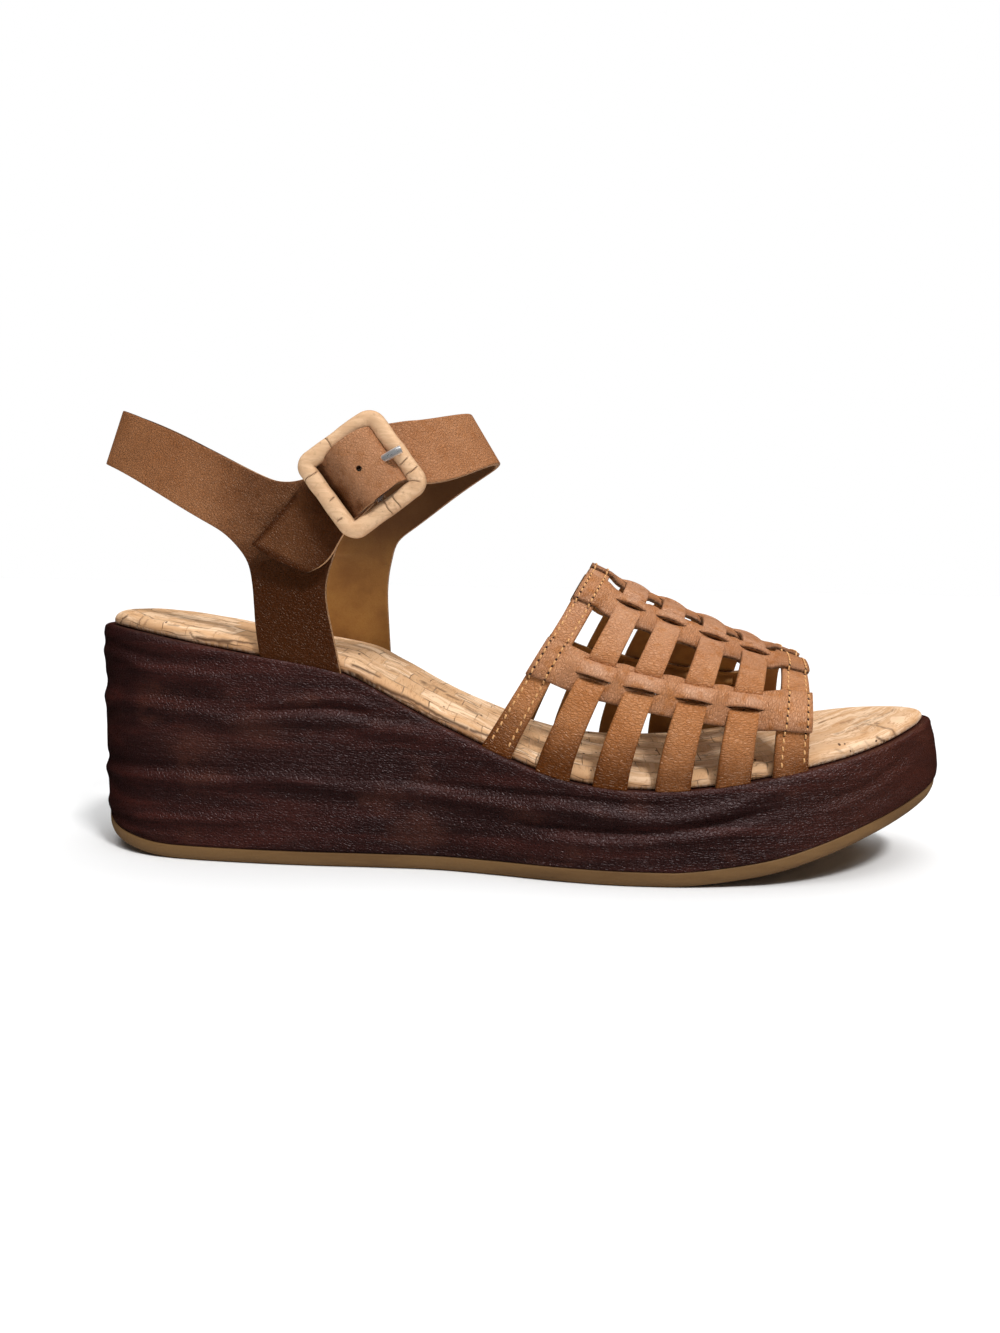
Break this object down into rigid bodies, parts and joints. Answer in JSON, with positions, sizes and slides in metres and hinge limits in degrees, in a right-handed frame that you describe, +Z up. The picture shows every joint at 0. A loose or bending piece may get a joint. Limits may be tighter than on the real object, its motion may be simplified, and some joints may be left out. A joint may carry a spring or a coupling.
{
  "type": "platform sandal",
  "caption": "Right-foot wedge platform sandal with an open toe, a vamp of woven leather straps, a cork footbed and an ankle strap closed by a square buckle.",
  "frame": {"origin": "on the ground under the middle of the shoe's bounding box", "axes": "+X from heel to toe, +Y to the wearer's left, which is the inner side of this right shoe, +Z up from the ground"},
  "size_m": [0.2524, 0.0821, 0.1288],
  "materials": {
    "tan_rubber": "matte",
    "dark_leather": "satin, pressed with wavy ridges",
    "cork": "matte cork veneer",
    "tan_leather": "satin, burnished",
    "steel": "polished"
  },
  "bodies": {
    "root": {"outsole": "tan_rubber", "wedge": "dark_leather", "footbed": "cork", "vamp": "tan_leather", "ankle_piece": "tan_leather", "buckle_frame": "cork", "buckle_bar": "steel", "prong": "steel"}
  },
  "joints": []
}
